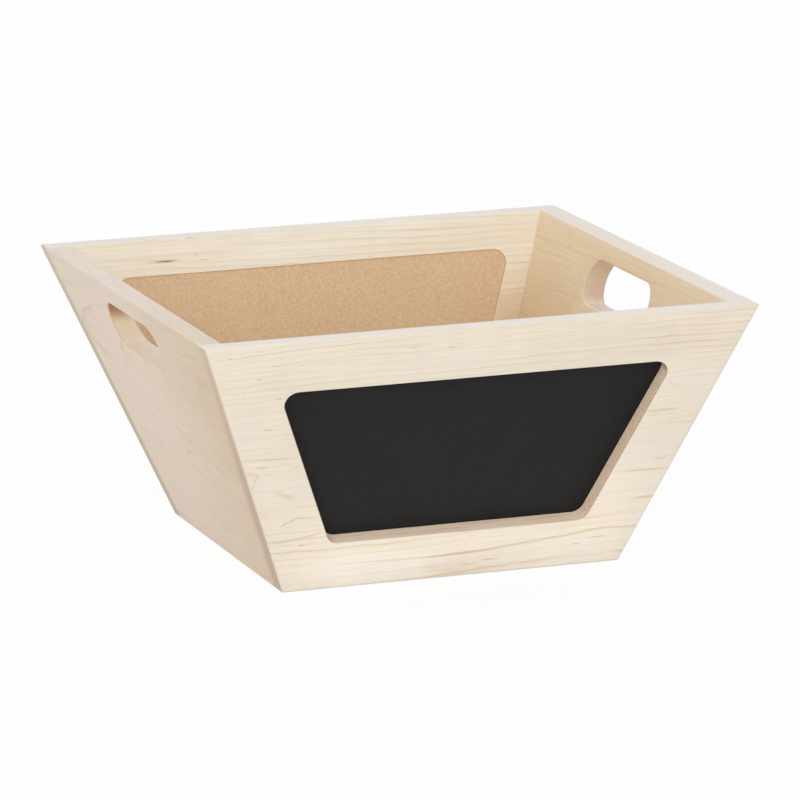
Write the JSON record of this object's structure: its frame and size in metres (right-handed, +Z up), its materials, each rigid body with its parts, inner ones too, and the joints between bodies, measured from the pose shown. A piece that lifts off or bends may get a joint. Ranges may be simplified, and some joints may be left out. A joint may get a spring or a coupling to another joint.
{
  "type": "wooden display box",
  "caption": "Open square wooden display bin with outward leaning walls, chalkboard windows front and back, and hand slots in the sides.",
  "frame": {"origin": "middle of the footprint, on the surface the box stands on", "axes": "+Z up, -Y out of the front window, +X towards the right side when the front is seen"},
  "size_m": [0.3174, 0.3174, 0.1524],
  "materials": {
    "maple": "bare pale maple, planed and sanded, edges eased",
    "plywood": "bare pale plywood, sanded",
    "chalkboard": "hardboard with a matt black chalk coating on its outer face, bare brown inside",
    "dowel_wood": "bare turned hardwood"
  },
  "bodies": {
    "root": {"front_panel": "maple", "back_panel": "maple", "left_side_panel": "maple", "right_side_panel": "maple", "front_chalkboard": "chalkboard", "back_chalkboard": "chalkboard", "base_panel": "plywood", "dowel_front_left_1": "dowel_wood", "dowel_front_left_2": "dowel_wood", "dowel_front_left_3": "dowel_wood", "dowel_front_right_1": "dowel_wood", "dowel_front_right_2": "dowel_wood", "dowel_front_right_3": "dowel_wood", "dowel_back_left_1": "dowel_wood", "dowel_back_left_2": "dowel_wood", "dowel_back_left_3": "dowel_wood", "dowel_back_right_1": "dowel_wood", "dowel_back_right_2": "dowel_wood", "dowel_back_right_3": "dowel_wood"}
  },
  "joints": []
}
